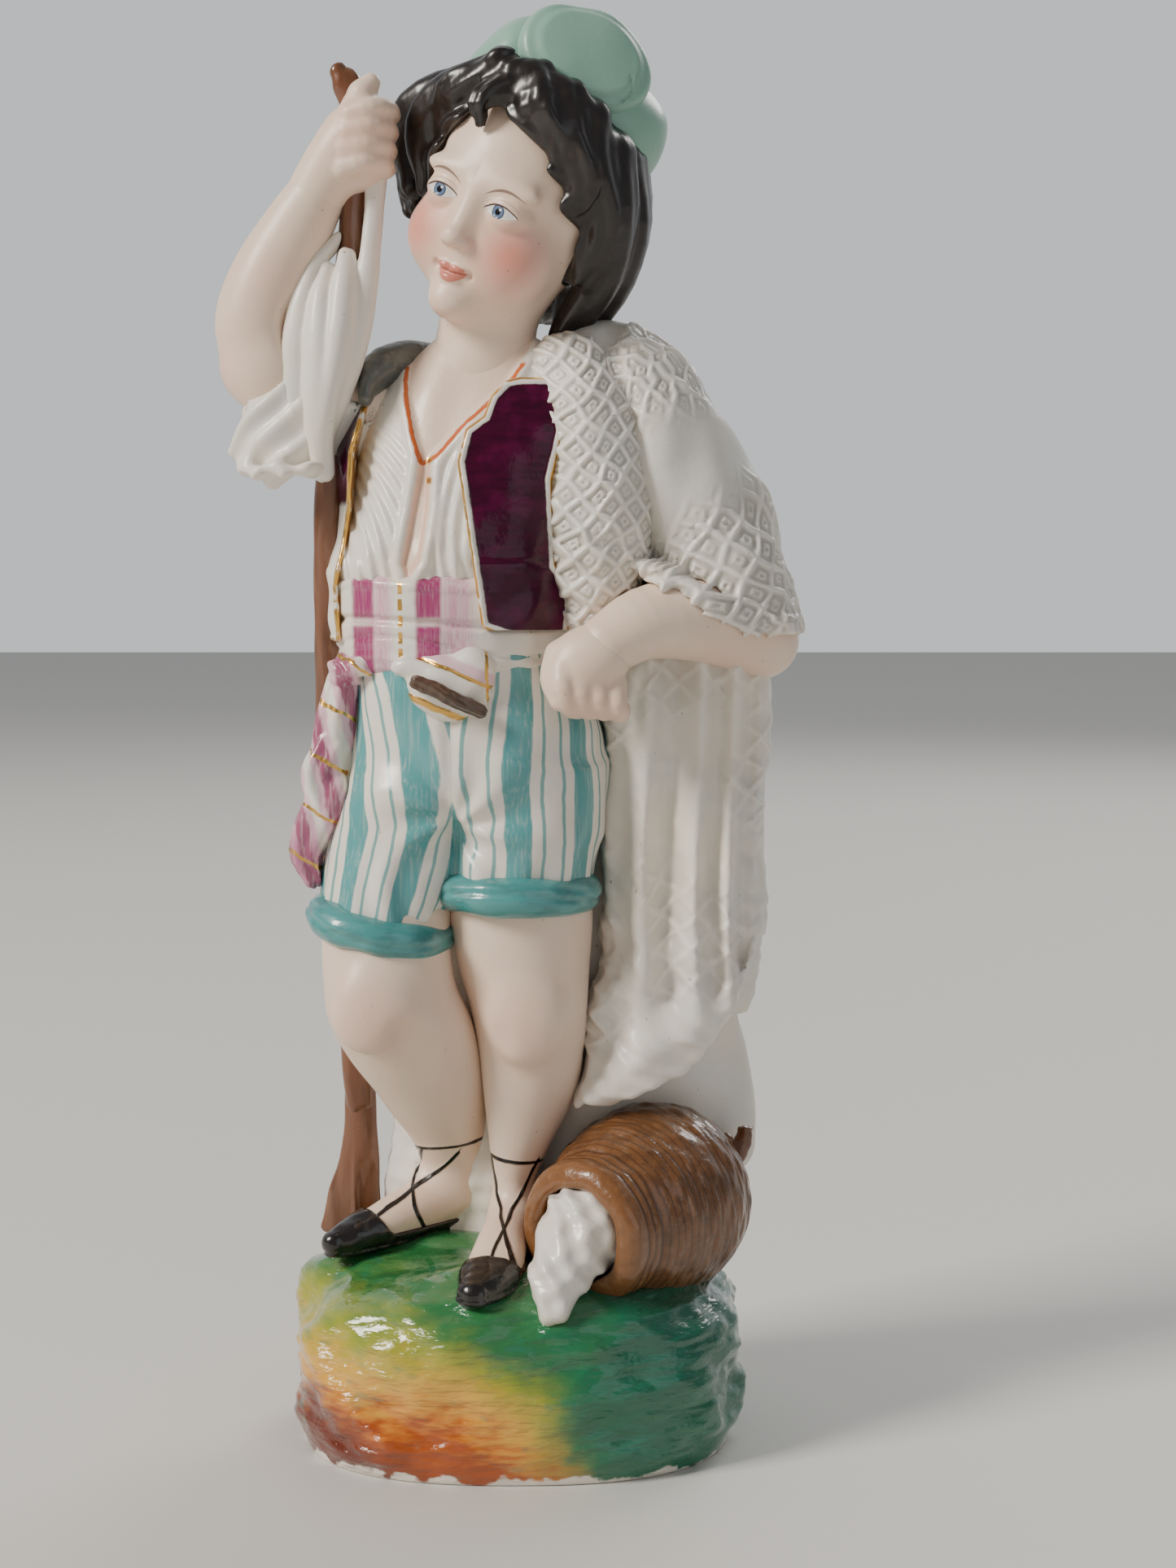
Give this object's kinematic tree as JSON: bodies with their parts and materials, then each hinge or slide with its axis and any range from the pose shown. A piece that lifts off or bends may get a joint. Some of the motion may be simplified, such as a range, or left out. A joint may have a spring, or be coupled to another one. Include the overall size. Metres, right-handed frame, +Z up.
{
  "type": "porcelain figurine",
  "caption": "Painted porcelain figurine of a fisher boy on a rocky mound, leaning on an oar, a net over one shoulder and a tipped wicker pot at the foot.",
  "frame": {"origin": "under the middle of the figurine's bounding box, on the surface it stands on", "axes": "+Z up, -Y the way the boy faces, +X to the boy's left hand"},
  "size_m": [0.1336, 0.0856, 0.3389],
  "materials": {
    "bisque_white": "unglazed porcelain, satin",
    "bisque_skin": "tinted bisque with blush, satin",
    "teal_enamel": "fired enamel over porcelain, gloss",
    "black_enamel": "fired enamel over porcelain, gloss",
    "brown_enamel": "fired enamel over porcelain, gloss",
    "purple_enamel": "fired enamel over porcelain, gloss",
    "pink_enamel": "fired enamel over porcelain, gloss",
    "sage_enamel": "fired enamel over porcelain, gloss",
    "mound_glaze": "running colour glaze, gloss",
    "grey_enamel": "fired enamel over porcelain, gloss"
  },
  "bodies": {
    "root": {"base_mound": "mound_glaze", "breeches": "bisque_white", "cap_band": "sage_enamel", "cap_crown": "sage_enamel", "hair": "black_enamel", "head": "bisque_skin", "left_cuff": "teal_enamel", "left_forearm": "bisque_skin", "left_hand": "bisque_skin", "left_leg": "bisque_skin", "left_shoe": "black_enamel", "net_back_fall": "bisque_white", "net_chest": "bisque_white", "net_shoulder": "bisque_white", "net_side_fall": "bisque_white", "oar_blade": "brown_enamel", "oar_shaft": "brown_enamel", "pot_handle_stub": "brown_enamel", "pouch_bar": "brown_enamel", "right_arm": "bisque_skin", "right_cuff": "teal_enamel", "right_hand": "bisque_skin", "right_leg": "bisque_skin", "right_shoe": "black_enamel", "right_sleeve": "bisque_white", "sash": "pink_enamel", "sash_knot": "pink_enamel", "sash_tail": "pink_enamel", "shoulder_strap": "grey_enamel", "sleeve_folds": "bisque_white", "spilled_catch": "bisque_white", "support_stump": "bisque_white", "torso": "bisque_white", "waist_pouch": "bisque_white", "waistcoat_left": "purple_enamel", "waistcoat_right": "purple_enamel", "wicker_pot": "brown_enamel"}
  },
  "joints": []
}
